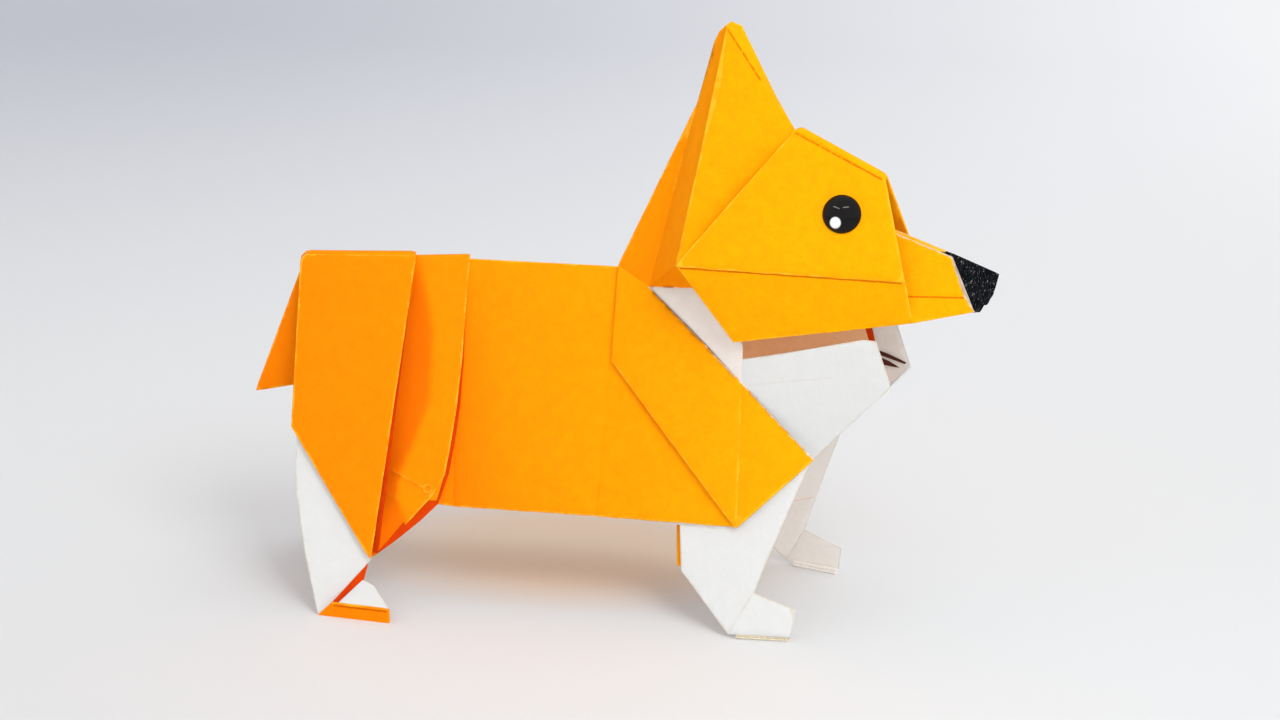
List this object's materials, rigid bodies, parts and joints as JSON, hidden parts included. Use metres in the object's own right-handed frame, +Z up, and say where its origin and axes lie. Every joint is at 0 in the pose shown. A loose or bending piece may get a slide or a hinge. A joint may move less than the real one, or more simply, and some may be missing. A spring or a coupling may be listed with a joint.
{
  "type": "origami dog",
  "caption": "Small standing dog folded from one two-coloured sheet of paper, with pleated haunches, pointed ears, a white breast and a stick-on domed eye on each cheek.",
  "frame": {"origin": "centre of the bounding box on the ground under the feet", "axes": "+X from tail to nose, +Z up, +Y to the dog's left; the pictured side is -Y"},
  "size_m": [0.1006, 0.0384, 0.0787],
  "materials": {
    "paper": "matte, orange on one side and white on the other",
    "eye": "glossy black"
  },
  "bodies": {
    "root": {"folded_sheet": "paper", "eye_right": "eye", "eye_left": "eye"}
  },
  "joints": []
}
